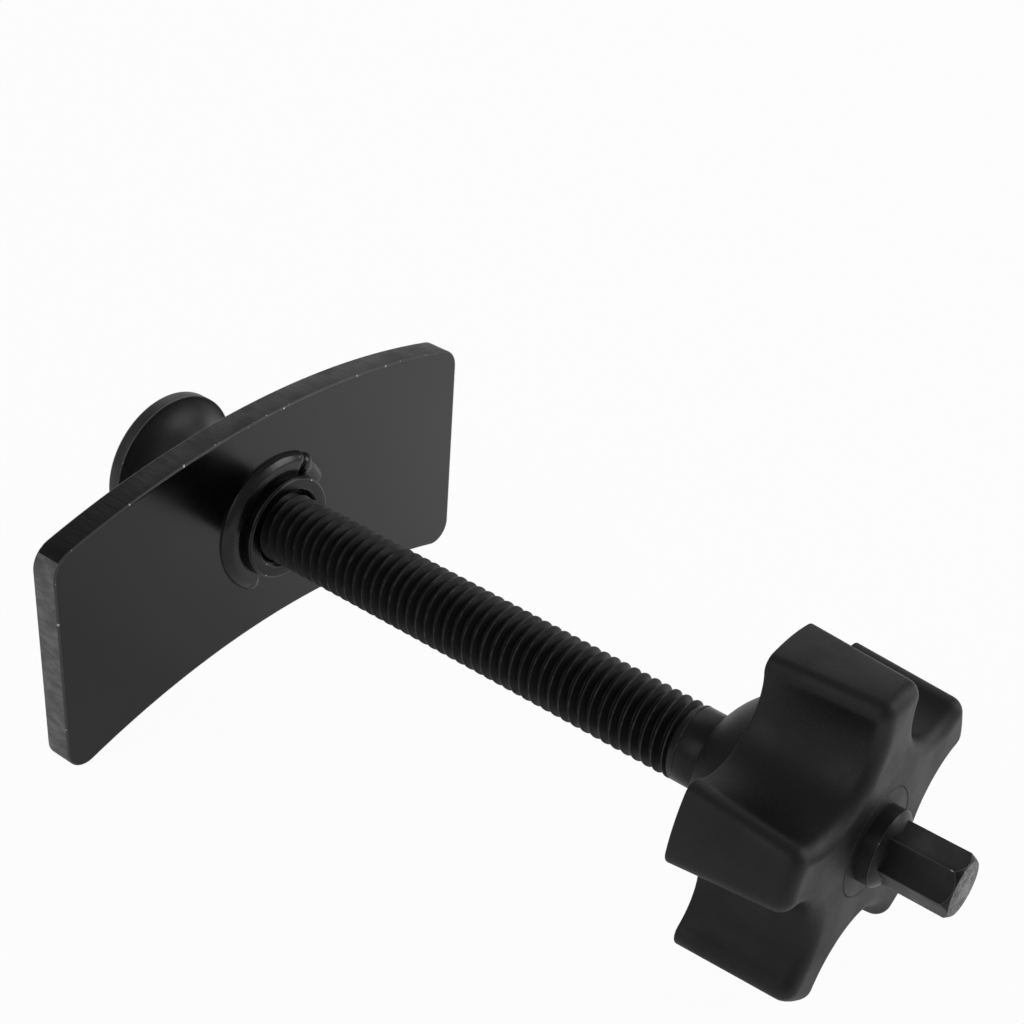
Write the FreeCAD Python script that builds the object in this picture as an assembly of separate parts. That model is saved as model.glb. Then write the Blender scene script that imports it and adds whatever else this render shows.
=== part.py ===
import FreeCAD, Part
import math
import os

# Brake caliper spreader, in millimetres.
# Y is the screw's axis, toward the pressure foot. Z is up. X runs along the plate.
# The origin is on the screw's axis, at the plate's bearing face.

# Screw thread (1/2 inch, 13 turns to the inch, right hand) and its run
thread_major_dia = 12.7
thread_pitch = 25.4 / 13
thread_knob_end = -87.6
thread_foot_end = 14.0
thread_depth_share = 0.6134
shank_dia = 12.6

# Seat in the knob, collar and hexagonal drive end
seat_dia = 12.4
collar_length = 1.9
collar_chamfer = 0.35
neck_cone_length = 0.9
drive_across_flats = 8.9
drive_length = 10.6
drive_end_chamfer = 1.0
drive_end_dia = 8.7
drive_turn = 0.0

# Journal at the foot's end of the screw
journal_dia = 8.0
journal_chamfer = 0.5
journal_set_back = 0.5
running_clearance = 0.05
axial_play = 0.1

# Arched plate
plate_thick = 5.2
plate_half_width = 48.35
plate_top_radius = 171.8
plate_top_height = 21.9
plate_bottom_radius = 145.4
plate_bottom_height = 20.2
plate_top_corner = 4.5
plate_bottom_corner = 3.8
plate_edge_break = 0.3

# Threaded bush, welded through the plate
bush_collar_dia = 19.15
bush_collar_height = 3.45
bush_pilot_dia = 16.0
bush_edge_chamfer = 0.35
bush_sink_dia = 14.7
bush_sink_depth = 0.9

# Weld bead round the bush
weld_leg_out = 3.3
weld_leg_up = 1.3
weld_crown = 0.75
weld_bands = 2
weld_start = 62.0
weld_end = 243.0

# Five-lobed knob
knob_lobes = 5
knob_outer_dia = 54.2
flute_centre_radius = 26.6
flute_radius = 9.7
lobe_corner_radius = 2.3
knob_turn = 16.2
knob_back = -100.6
knob_length = 20.0
knob_front_slope = 1.5
knob_back_slope = 0.5
hub_dome_land = 1.3
hub_dome_depth = 6.6
hub_dome_bands = 3
hub_nose_wall = 0.8

# Nylon hub that the lobes are moulded round
hub_core_dia = 17.8
hub_core_length = 15.0

# Pressure foot
foot_face = 27.5
foot_dia = 27.45
foot_rim_thick = 2.6
foot_rim_chamfer = 0.3
foot_neck_dia = 14.6
foot_neck_length = 2.4
foot_trumpet_lip = 0.5
foot_trumpet_hollow = 0.16
foot_trumpet_bands = 3
foot_pocket_dia = 13.0
foot_pocket_depth = 2.7

# Thrust washer and retaining ring
washer_dia = 14.6
washer_thick = 1.3
ring_dia = 11.2
ring_thick = 1.0
ring_groove_depth = 0.5
ring_gap_angle = 40.0

# Nearness at which two places count as the same
match = 0.01


def point(radius, along):
    """Point of a turned profile, at a radius and a place along the screw's axis."""
    return FreeCAD.Vector(radius, along, 0)


def turned(corners):
    """Solid of revolution about the screw's axis, from (radius, along) corners."""
    return turned_points([point(r, y) for r, y in corners])


def drum(radius, start, end):
    """Plain cylinder on the screw's axis."""
    base = FreeCAD.Vector(0, min(start, end), 0)
    return Part.makeCylinder(radius, abs(end - start), base, FreeCAD.Vector(0, 1, 0))


def in_plan(radius, degrees, along=0.0):
    """Point round the screw's axis, with the angle measured from +X toward +Z."""
    angle = math.radians(degrees)
    return FreeCAD.Vector(radius * math.cos(angle), along, radius * math.sin(angle))


def arc(start, middle, end):
    """Circular edge through three points."""
    return Part.Arc(start, middle, end).toShape()


def bands(start, middle, end, count):
    """Points of an arc through three points, spaced evenly along it."""
    curve = Part.Arc(start, middle, end)
    span = curve.LastParameter - curve.FirstParameter
    return [curve.value(curve.FirstParameter + span * i / count) for i in range(count + 1)]


def turned_points(spots):
    """Solid of revolution about the screw's axis, from the corners of its profile."""
    wire = Part.makePolygon(spots + spots[:1])
    return Part.Face(wire).revolve(FreeCAD.Vector(0, 0, 0), FreeCAD.Vector(0, 1, 0), 360)


def rounded_outline(edges, radii):
    """Closed wire with one fillet at the end of each edge."""
    corners = Part.Wire(edges).OrderedVertexes
    face = Part.Face(Part.Wire(edges))
    block = face.extrude(FreeCAD.Vector(0, plate_thick, 0))
    for corner, radius in zip(corners, radii):
        rails = [e for e in block.Edges if is_rail_at(e, corner.Point)]
        block = block.makeFillet(radius, rails)
    return block


def is_rail_at(edge, place):
    """True for an edge that runs through the plate's thickness at a corner."""
    ends = [v.Point for v in edge.Vertexes]
    if len(ends) != 2:
        return False
    near = all(math.hypot(p.x - place.x, p.z - place.z) < match for p in ends)
    return near and abs(ends[0].y - ends[1].y) > plate_thick / 2


def arc_height(radius, top, x):
    """Height of an arch above the screw's axis, at x."""
    return top - radius + math.sqrt(radius ** 2 - x ** 2)


def spreader_plate():
    """Arched plate with rounded corners, broken edges and the bush's hole."""
    low_top = -plate_bottom_height
    spots = []
    for x, radius, top in ((-1, plate_top_radius, plate_top_height), (0, plate_top_radius, plate_top_height),
                           (1, plate_top_radius, plate_top_height), (1, plate_bottom_radius, low_top),
                           (0, plate_bottom_radius, low_top), (-1, plate_bottom_radius, low_top)):
        across = x * plate_half_width
        spots.append(FreeCAD.Vector(across, 0, arc_height(radius, top, across)))
    top_left, top_mid, top_right, low_right, low_mid, low_left = spots
    edges = [arc(top_left, top_mid, top_right), Part.makeLine(top_right, low_right),
             arc(low_right, low_mid, low_left), Part.makeLine(low_left, top_left)]
    radii = [plate_top_corner, plate_top_corner, plate_bottom_corner, plate_bottom_corner]
    plate = rounded_outline(edges, radii)
    rims = [e for e in plate.Edges if is_flat_rim(e)]
    plate = plate.makeChamfer(plate_edge_break, rims)
    return plate.cut(drum(bush_pilot_dia / 2, 0, plate_thick))


def is_flat_rim(edge):
    """True for an edge that lies in the plate's front or back face."""
    box = edge.BoundBox
    return box.YLength < match and min(abs(box.YMin), abs(box.YMin - plate_thick)) < match


def threaded_bush():
    """Round weld nut: collar on the bearing face, pilot through the plate, countersunk bore."""
    bore = thread_major_dia / 2 + running_clearance
    outer = bush_collar_dia / 2
    face = -bush_collar_height
    sink = bush_sink_dia / 2
    return turned([
        (bore, face + bush_sink_depth), (sink, face), (outer - bush_edge_chamfer, face),
        (outer, face + bush_edge_chamfer), (outer, 0), (bush_pilot_dia / 2, 0),
        (bush_pilot_dia / 2, plate_thick), (bore, plate_thick)])


def bush_weld():
    """C-shaped bead in the corner between bush and plate."""
    wall = bush_collar_dia / 2
    root = point(wall, 0)
    toe = point(wall + weld_leg_out, 0)
    top = point(wall, -weld_leg_up)
    crown = point(wall + weld_leg_out / 2, -weld_leg_up / 2 - weld_crown)
    section = Part.Face(Part.makePolygon([root] + bands(toe, crown, top, weld_bands) + [root]))
    axis = FreeCAD.Vector(0, 1, 0)
    bead = section.revolve(FreeCAD.Vector(0, 0, 0), axis, weld_end - weld_start)
    bead.rotate(FreeCAD.Vector(0, 0, 0), axis, -weld_end)
    return bead


def hexagon(across_flats, start, length):
    """Hexagonal bar on the screw's axis, with one corner toward +X."""
    corner = across_flats / math.sqrt(3)
    loop = [in_plan(corner, drive_turn + 60 * i, start) for i in range(7)]
    return Part.Face(Part.makePolygon(loop)).extrude(FreeCAD.Vector(0, length, 0))


def knob_face():
    """Place of the knob's front face along the screw's axis."""
    return knob_back - knob_length


def drive_tip():
    """Place of the drive end's flat face along the screw's axis."""
    return knob_face() - collar_length - neck_cone_length - drive_length


def thread_depth():
    """Depth of the thread's groove, which is also the chamfer at its tip."""
    return thread_depth_share * thread_pitch


def screw_rod():
    """One turned rod: journal, thread blank, shank, knob seat, collar and hexagonal drive."""
    journal = journal_dia / 2
    major = thread_major_dia / 2
    groove = journal - ring_groove_depth
    ring = ring_place()
    tip = foot_face - journal_set_back
    seat = seat_dia / 2
    collar_end = knob_face() - collar_length
    cone_end = collar_end - neck_cone_length
    inner = drive_across_flats / 2
    body = turned([
        (0, tip), (journal - journal_chamfer, tip), (journal, tip - journal_chamfer),
        (journal, ring + ring_thick), (groove, ring + ring_thick), (groove, ring), (journal, ring),
        (journal, thread_foot_end), (major - thread_depth(), thread_foot_end),
        (major, thread_foot_end - thread_depth()), (major, thread_knob_end),
        (shank_dia / 2, thread_knob_end), (shank_dia / 2, hub_nose()), (seat, hub_nose()),
        (seat, collar_end + collar_chamfer), (seat - collar_chamfer, collar_end),
        (inner, cone_end), (0, cone_end)])
    corner = drive_across_flats / math.sqrt(3)
    end = drive_tip()
    trim = turned([
        (0, end), (drive_end_dia / 2, end), (corner, end + drive_end_chamfer),
        (corner, cone_end), (seat - collar_chamfer, collar_end), (0, collar_end)])
    drive = hexagon(drive_across_flats, end, collar_end - end).common(trim)
    return body.fuse(drive).removeSplitter()


def nose_radius():
    """Radius of the flat nose of the knob's dome, round the shank."""
    return shank_dia / 2 + running_clearance + hub_nose_wall


def dome_root():
    """Radius of the dome where it leaves the knob's back, clear of the flutes' sloped edge."""
    return flute_centre_radius - flute_radius - knob_back_slope - hub_dome_land


def dome_radius():
    """Radius of the dome, whose centre lies inside the knob."""
    return math.hypot(dome_root(), hub_dome_depth)


def hub_nose():
    """Place of the knob hub's nose along the screw's axis."""
    return knob_back - hub_dome_depth + math.sqrt(dome_radius() ** 2 - nose_radius() ** 2)


def star_loop(start):
    """Scalloped disc outline with rounded lobe corners, as one closed wire."""
    outer = knob_outer_dia / 2
    half = 180.0 / knob_lobes
    reach = outer - lobe_corner_radius
    span = flute_radius + lobe_corner_radius
    cosine = (reach ** 2 + flute_centre_radius ** 2 - span ** 2) / (2 * reach * flute_centre_radius)
    corner_angle = math.degrees(math.acos(cosine))
    edges = []
    for lobe in range(knob_lobes):
        middle = knob_turn + lobe * 2 * half
        flute = in_plan(flute_centre_radius, middle + half, start)
        corners = [in_plan(reach, middle + half + side * corner_angle, start) for side in (-1, 1)]
        contacts = [flute + (c - flute) * (flute_radius / span) for c in corners]
        rims = [in_plan(outer, middle + half + side * corner_angle, start) for side in (-1, 1)]
        last_rim = in_plan(outer, middle - half + corner_angle, start)
        edges.append(arc(last_rim, in_plan(outer, middle, start), rims[0]))
        edges.append(arc(rims[0], corner_middle(corners[0], rims[0], contacts[0]), contacts[0]))
        bottom = in_plan(flute_centre_radius - flute_radius, middle + half, start)
        edges.append(arc(contacts[0], bottom, contacts[1]))
        edges.append(arc(contacts[1], corner_middle(corners[1], contacts[1], rims[1]), rims[1]))
    return Part.Wire(edges)


def corner_middle(centre, first, second):
    """Middle point of a lobe's corner arc."""
    toward = (first - centre) + (second - centre)
    return centre + toward.normalize() * lobe_corner_radius


def knob_dome():
    """Domed hub on the knob's back, with a flat nose round the shank."""
    lean = (math.asin(hub_dome_depth / dome_radius()) + math.acos(nose_radius() / dome_radius())) / 2
    centre = knob_back - hub_dome_depth
    middle = point(dome_radius() * math.cos(lean), centre + dome_radius() * math.sin(lean))
    root = point(dome_root(), knob_back)
    nose = point(nose_radius(), hub_nose())
    back = bands(root, middle, nose, hub_dome_bands)
    return turned_points([point(0, centre), point(dome_root(), centre)] + back + [point(0, hub_nose())])


def star_knob():
    """Moulded knob: five soft lobes, a domed hub behind them, and a seat for its nylon core."""
    front = knob_face()
    knob = Part.Face(star_loop(front)).extrude(FreeCAD.Vector(0, knob_length, 0))
    knob = knob.makeChamfer(knob_front_slope, [e for e in knob.Edges if lies_at(e, front)])
    knob = knob.makeChamfer(knob_back_slope, [e for e in knob.Edges if lies_at(e, knob_back)])
    knob = knob.fuse(knob_dome()).removeSplitter()
    core = hub_core_dia / 2
    end = front + hub_core_length
    shank = shank_dia / 2
    seat = turned([(0, front), (core, front), (core, end), (shank, end), (shank, hub_nose()), (0, hub_nose())])
    return knob.cut(seat)


def lies_at(edge, along):
    """True for an edge that lies in one plane across the screw's axis."""
    box = edge.BoundBox
    return box.YLength < match and abs(box.YMin - along) < match


def knob_hub():
    """Round nylon core on the screw's seat; its end shows as a ring in the knob's front face."""
    front = knob_face()
    hub = drum(hub_core_dia / 2, front, front + hub_core_length)
    return hub.cut(drum(seat_dia / 2, front, front + hub_core_length))


def ring_place():
    """Place of the retaining ring's inner face along the screw's axis."""
    return foot_face - foot_pocket_depth + axial_play


def washer_place():
    """Place of the thrust washer's face toward the thread."""
    return thread_foot_end + axial_play


def pressure_foot():
    """Rimmed disc with a concave neck, bored for the journal and pocketed for the ring."""
    bore = journal_dia / 2 + running_clearance
    neck_start = washer_place() + washer_thick + axial_play
    neck_end = neck_start + foot_neck_length
    rim_front = foot_face - foot_rim_thick
    rim = foot_dia / 2
    neck = foot_neck_dia / 2
    lip = rim - foot_trumpet_lip
    run = math.hypot(lip - neck, rim_front - neck_end)
    middle = point((lip + neck) / 2, (rim_front + neck_end) / 2)
    inward = FreeCAD.Vector(-(rim_front - neck_end), lip - neck, 0).normalize()
    sag = middle + inward * (run * foot_trumpet_hollow)
    pocket = foot_pocket_dia / 2
    floor = foot_face - foot_pocket_depth
    trumpet = bands(point(neck, neck_end), sag, point(lip, rim_front), foot_trumpet_bands)
    outline = [
        (rim, rim_front), (rim, foot_face - foot_rim_chamfer), (rim - foot_rim_chamfer, foot_face), (pocket, foot_face),
        (pocket, floor), (bore, floor), (bore, neck_start), (neck, neck_start)]
    return turned_points(trumpet + [point(r, y) for r, y in outline])


def thrust_washer():
    """Plain washer between the screw's shoulder and the foot."""
    start = washer_place()
    ring = drum(washer_dia / 2, start, start + washer_thick)
    return ring.cut(drum(journal_dia / 2 + running_clearance, start, start + washer_thick))


def foot_retaining_ring():
    """Open spring ring in the journal's groove, in the foot's pocket."""
    start = ring_place()
    ring = drum(ring_dia / 2, start, start + ring_thick)
    ring = ring.cut(drum(journal_dia / 2 - ring_groove_depth, start, start + ring_thick))
    reach = ring_dia
    side = in_plan(reach, 90 - ring_gap_angle / 2, start)
    other = in_plan(reach, 90 + ring_gap_angle / 2, start)
    centre = FreeCAD.Vector(0, start, 0)
    wedge = Part.Face(Part.makePolygon([centre, side, other, centre]))
    return ring.cut(wedge.extrude(FreeCAD.Vector(0, ring_thick, 0)))


pieces = {
    "spreader_plate": spreader_plate,
    "threaded_bush": threaded_bush,
    "bush_weld": bush_weld,
    "screw_rod": screw_rod,
    "star_knob": star_knob,
    "knob_hub": knob_hub,
    "pressure_foot": pressure_foot,
    "thrust_washer": thrust_washer,
    "foot_retaining_ring": foot_retaining_ring,
}

os.makedirs("parts", exist_ok=True)
for name, make in pieces.items():
    solid = make()
    solid.exportStep("parts/" + name + ".step")
    box = solid.BoundBox
    print(name, len(solid.Solids), solid.isValid(), round(solid.Volume, 1),
          [round(v, 2) for v in (box.XMin, box.XMax, box.YMin, box.YMax, box.ZMin, box.ZMax)])
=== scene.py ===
import logging
import math
from dataclasses import dataclass
from enum import Enum
from typing import Callable

import bpy
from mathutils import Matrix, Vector


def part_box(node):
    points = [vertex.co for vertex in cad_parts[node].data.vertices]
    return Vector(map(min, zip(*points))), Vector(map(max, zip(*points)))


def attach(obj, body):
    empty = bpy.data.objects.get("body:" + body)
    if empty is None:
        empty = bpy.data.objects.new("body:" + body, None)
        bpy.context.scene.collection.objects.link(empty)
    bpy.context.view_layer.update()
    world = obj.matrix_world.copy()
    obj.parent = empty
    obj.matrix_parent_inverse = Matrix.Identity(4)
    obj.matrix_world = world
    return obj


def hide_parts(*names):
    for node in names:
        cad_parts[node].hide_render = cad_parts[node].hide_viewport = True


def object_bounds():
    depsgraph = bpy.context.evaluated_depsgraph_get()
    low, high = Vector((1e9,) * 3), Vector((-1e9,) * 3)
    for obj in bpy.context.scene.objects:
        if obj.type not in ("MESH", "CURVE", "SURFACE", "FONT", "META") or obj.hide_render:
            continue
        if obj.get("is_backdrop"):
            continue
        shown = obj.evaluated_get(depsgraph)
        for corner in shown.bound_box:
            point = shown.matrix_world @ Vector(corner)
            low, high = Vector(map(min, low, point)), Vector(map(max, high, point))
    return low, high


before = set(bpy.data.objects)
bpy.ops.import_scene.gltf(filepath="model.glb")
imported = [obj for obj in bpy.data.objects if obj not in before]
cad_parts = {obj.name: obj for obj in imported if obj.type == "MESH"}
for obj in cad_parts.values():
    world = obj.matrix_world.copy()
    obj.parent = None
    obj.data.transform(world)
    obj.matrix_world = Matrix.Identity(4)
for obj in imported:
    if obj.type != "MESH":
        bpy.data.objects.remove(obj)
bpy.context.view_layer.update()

MM = 0.001
WHOLE_TURN = 2 * math.pi
QUARTER_TURN = math.pi / 2
ORIGIN = (0, 0, 0)
Y_AXIS = (0, 1, 0)
# Places nearer to each other than this count as one.
CLOSE = 2e-6
# A face counts as square to an axis from this share of its normal on.
SQUARE = 0.99
# Edges sharper than this are rounded, and shaded as edges, in degrees.
SHARP_ANGLE = 28
SHADE_ANGLE = 32
# Runs in a full turn of broad, middling and small pieces.
BROAD_STEPS, ROUND_STEPS, SMALL_STEPS = 144, 128, 96
# Faces across a fine rim and across a rounder one.
FINE_RIM, ROUND_RIM = 2, 3
# Material slots of the plate, and of every other piece. The rim slots hold pale edge finishes: worn edges
# with a painted highlight.
PLATE_FACE, PLATE_EDGE, PLATE_RIM, PLATE_END = range(4)
BODY_SLOT, WEAR_AND_HIGHLIGHT_SLOT, END_SLOT = range(3)
log = logging.getLogger("brake_caliper_spreader")

Piece = bpy.types.Object
Socket = bpy.types.NodeSocket
Tree = bpy.types.NodeTree


class Body(Enum):
    """Bodies of the frame that pieces ride on."""

    PLATE = "plate_assembly"
    WASHER = "washer"
    SCREW = "screw"
    FOOT = "foot"


class Part(Enum):
    """Kinds of mesh parts that can be picked by place."""

    CORNER = "VERT"
    EDGE = "EDGE"
    FACE = "FACE"


class Sheet(Enum):
    """Planes that a pen draws in: the second axis, and the normal that its arcs turn about."""

    PROFILE = ((0, 1, 0), (0, 0, 1))
    SECTION = ((0, 0, 1), (0, -1, 0))


# Bench work: selecting, drawing outlines and turning them into solids


def clear_bench() -> None:
    """Leave edit mode and deselect every object."""
    if bpy.context.object and bpy.context.object.mode != "OBJECT":
        bpy.ops.object.mode_set(mode="OBJECT")
    bpy.ops.object.select_all(action="DESELECT")


def take(piece: Piece) -> None:
    """Make one piece the only selected and active one.

    Args:
        piece: the piece to take.
    """
    clear_bench()
    piece.select_set(True)
    bpy.context.view_layer.objects.active = piece


def pick(piece: Piece, kind: Part, test: Callable[[Vector, Vector], bool]) -> None:
    """Select the parts of a piece that pass a test, and stay in edit mode.

    Args:
        piece: the piece to work on.
        kind: corners, edges or faces.
        test: takes a part's centre and its direction, which is a normal or an edge's run.
    """
    take(piece)
    bpy.ops.object.mode_set(mode="EDIT")
    bpy.ops.mesh.select_mode(type=kind.value)
    bpy.ops.mesh.select_all(action="DESELECT")
    bpy.ops.object.mode_set(mode="OBJECT")
    mesh = piece.data
    if kind is Part.FACE:
        for face in mesh.polygons:
            face.select = test(face.center, face.normal)
    elif kind is Part.EDGE:
        for edge in mesh.edges:
            first, last = (mesh.vertices[i].co for i in edge.vertices)
            edge.select = test((first + last) / 2, (last - first).normalized())
    else:
        for corner in mesh.vertices:
            corner.select = test(corner.co, corner.normal)
    bpy.ops.object.mode_set(mode="EDIT")


def at_level(*levels: float) -> Callable[[Vector, Vector], bool]:
    """Return a test for parts whose centres lie at given places along the screw's axis."""
    return lambda spot, way: min(abs(spot.y - level) for level in levels) < CLOSE


def seal(piece: Piece) -> Piece:
    """Merge doubles, turn the faces outward and leave edit mode.

    Args:
        piece: the piece in edit mode.

    Returns:
        The same piece.
    """
    bpy.ops.mesh.select_all(action="SELECT")
    bpy.ops.mesh.remove_doubles(threshold=CLOSE)
    bpy.ops.mesh.normals_make_consistent(inside=False)
    bpy.ops.object.mode_set(mode="OBJECT")
    return piece


class Pen:
    """Draws an outline in edit mode with extrude and spin, and makes it a solid."""

    def __init__(self, name: str, sheet: Sheet, across: float, along: float) -> None:
        """Start a new piece with one vertex.

        Args:
            name: name of the piece.
            sheet: plane that the outline lies in.
            across: first place along X.
            along: first place along the sheet's second axis.
        """
        clear_bench()
        bpy.ops.mesh.primitive_plane_add(size=MM)
        self.piece = bpy.context.object
        self.piece.name = name
        self.second, self.normal = (Vector(axis) for axis in sheet.value)
        self.spot = self.place(across, along)
        bpy.ops.object.mode_set(mode="EDIT")
        bpy.ops.mesh.select_mode(type=Part.CORNER.value)
        bpy.ops.mesh.select_all(action="SELECT")
        bpy.ops.mesh.merge(type="CENTER")
        bpy.ops.transform.translate(value=self.spot)

    def place(self, across: float, along: float) -> Vector:
        """Return the point of the sheet at two places."""
        return Vector((across, 0, 0)) + self.second * along

    def line(self, *spots: tuple[float, float]) -> None:
        """Draw straight runs to each spot in turn.

        Args:
            spots: places along X and along the sheet's second axis.
        """
        for across, along in spots:
            target = self.place(across, along)
            move = {"value": target - self.spot}
            bpy.ops.mesh.extrude_region_move(TRANSFORM_OT_translate=move)
            self.spot = target

    def arc(self, across: float, along: float, degrees: float, steps: int) -> None:
        """Draw an arc from the pen's spot.

        Args:
            across: place of the arc's centre along X.
            along: place of the centre along the sheet's second axis.
            degrees: sweep, positive from X toward the second axis.
            steps: straight runs in the arc.
        """
        centre = self.place(across, along)
        angle = math.radians(degrees)
        bpy.ops.mesh.spin(steps=steps, angle=-angle, center=centre, axis=self.normal)
        side = self.normal.cross(self.spot - centre)
        self.spot = centre + (self.spot - centre) * math.cos(angle) + side * math.sin(angle)

    def turned(self, steps: int) -> Piece:
        """Spin the outline a full turn about the screw's axis.

        Args:
            steps: runs in the turn.

        Returns:
            The closed piece.
        """
        bpy.ops.mesh.select_all(action="SELECT")
        bpy.ops.mesh.spin(steps=steps, angle=WHOLE_TURN, center=ORIGIN, axis=Y_AXIS)
        return seal(self.piece)

    def swept(self, start: float, end: float, steps: int) -> Piece:
        """Fill the outline and spin it part of the way round the screw's axis.

        Args:
            start: angle of the first end, in degrees.
            end: angle of the second end.
            steps: runs in the sweep.

        Returns:
            The closed piece.
        """
        bpy.ops.mesh.select_all(action="SELECT")
        bpy.ops.mesh.edge_face_add()
        sweep = math.radians(end - start)
        bpy.ops.mesh.spin(steps=steps, angle=sweep, center=ORIGIN, axis=Y_AXIS)
        take(seal(self.piece))
        bpy.ops.transform.rotate(value=math.radians(start), orient_axis="Y", center_override=ORIGIN)
        bpy.ops.object.transform_apply(rotation=True, location=True)
        return self.piece

    def pressed(self, start: float, thick: float, merge: float) -> Piece:
        """Fill the outline and push it through a thickness along Y.

        Args:
            start: place of the first face along Y.
            thick: thickness of the piece.
            merge: spots of the outline nearer than this become one.

        Returns:
            The closed piece.
        """
        bpy.ops.mesh.select_all(action="SELECT")
        bpy.ops.mesh.remove_doubles(threshold=merge)
        bpy.ops.mesh.edge_face_add()
        bpy.ops.transform.translate(value=(0, start, 0))
        bpy.ops.mesh.extrude_region_move(TRANSFORM_OT_translate={"value": (0, thick, 0)})
        return seal(self.piece)


def apply_modifier(piece: Piece, kind: str, **settings: object) -> None:
    """Add a modifier and apply it.

    Args:
        piece: the piece to work on.
        kind: the modifier's type.
        settings: the modifier's attributes, with their values.
    """
    take(piece)
    modifier = piece.modifiers.new(kind.lower(), kind)
    for name, value in settings.items():
        setattr(modifier, name, value)
    bpy.ops.object.modifier_apply(modifier=modifier.name)


def soften(piece: Piece, width: float, segments: int, slot: int = BODY_SLOT) -> None:
    """Round the sharp edges of a piece.

    Args:
        piece: the piece to work on.
        width: width of the rounding, in metres.
        segments: faces across the rounding.
        slot: material slot of the rounded faces.
    """
    apply_modifier(
        piece, "BEVEL", width=width, segments=segments, limit_method="ANGLE",
        angle_limit=math.radians(SHARP_ANGLE), material=slot, use_clamp_overlap=True)


def combine(piece: Piece, other: Piece, how: str) -> None:
    """Cut, join or intersect a piece with another one, which is then gone.

    Args:
        piece: the piece that stays.
        other: the piece that is used up.
        how: DIFFERENCE, UNION or INTERSECT.
    """
    apply_modifier(
        piece, "BOOLEAN", operation=how, object=other, solver="EXACT", material_mode="TRANSFER")
    bpy.data.objects.remove(other)


def smooth(piece: Piece, degrees: float = SHADE_ANGLE) -> None:
    """Shade a piece smooth, apart from edges sharper than an angle."""
    take(piece)
    bpy.ops.object.shade_smooth_by_angle(angle=math.radians(degrees))


def add_slots(piece: Piece, count: int) -> None:
    """Give a piece empty material slots, so that its faces can be told apart."""
    for _ in range(count - len(piece.material_slots)):
        piece.data.materials.append(None)


def round_wear_and_highlight_edges(piece: Piece, width: float, segments: int,
         degrees: float = SHADE_ANGLE) -> Piece:
    """Round the edges of a piece, put them in its slot for worn edges with a painted highlight, and shade
    it.

    Args:
        piece: the piece to work on.
        width: width of the rounding, in metres.
        segments: faces across the rounding.
        degrees: edges sharper than this stay sharp in the shading.

    Returns:
        The same piece.
    """
    add_slots(piece, WEAR_AND_HIGHLIGHT_SLOT + 1)
    soften(piece, width, segments, WEAR_AND_HIGHLIGHT_SLOT)
    smooth(piece, degrees)
    return piece


# Finishes

# Sockets of a Mix node that mixes colours, which only their numbers tell apart.
MIX_SHARE, MIX_UNDER, MIX_OVER, MIX_RESULT = 0, 6, 7, 2
NOISE_ROUGHNESS = 0.55


def linear(colour: str) -> tuple[float, float, float, float]:
    """Turn an sRGB hex colour into linear light.

    Args:
        colour: a hash sign and six hex digits.

    Returns:
        Red, green, blue and full opacity.
    """
    shares = [int(colour[i:i + 2], 16) / 255 for i in (1, 3, 5)]
    light = [s / 12.92 if s <= 0.04045 else ((s + 0.055) / 1.055) ** 2.4 for s in shares]
    return (light[0], light[1], light[2], 1.0)


def add_node(tree: Tree, kind: str, settings: dict | None = None,
             links: dict | None = None) -> bpy.types.Node:
    """Add a node to a tree.

    Args:
        tree: node tree of a material or the world.
        kind: the node's type.
        settings: attributes or inputs of the node, with their values.
        links: inputs of the node, with the output each is fed by.

    Returns:
        The new node.
    """
    node = tree.nodes.new(kind)
    for name, value in (settings or {}).items():
        if isinstance(name, str) and hasattr(node, name):
            setattr(node, name, value)
        else:
            node.inputs[name].default_value = value
    for name, source in (links or {}).items():
        tree.links.new(source, node.inputs[name])
    return node


def empty_tree(owner: bpy.types.Material | bpy.types.World) -> Tree:
    """Give a material or a world an empty node tree.

    Args:
        owner: the material or the world.

    Returns:
        The tree.
    """
    owner.use_nodes = True
    owner.node_tree.nodes.clear()
    return owner.node_tree


def per_metre(size_mm: float) -> float:
    """Return a pattern's scale from the real size of one of its features."""
    return 1 / (size_mm * MM)


def blotches(size_mm: float, detail: float) -> dict:
    """Return a noise's settings from the real size of its blotches."""
    return {"Scale": per_metre(size_mm), "Detail": detail, "Roughness": NOISE_ROUGHNESS}


def mapped(source: tuple[float, float], result: tuple[float, float]) -> dict:
    """Return the settings that map one span smoothly to another."""
    return {"interpolation_type": "SMOOTHSTEP", "From Min": source[0], "From Max": source[1],
            "To Min": result[0], "To Max": result[1]}


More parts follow.
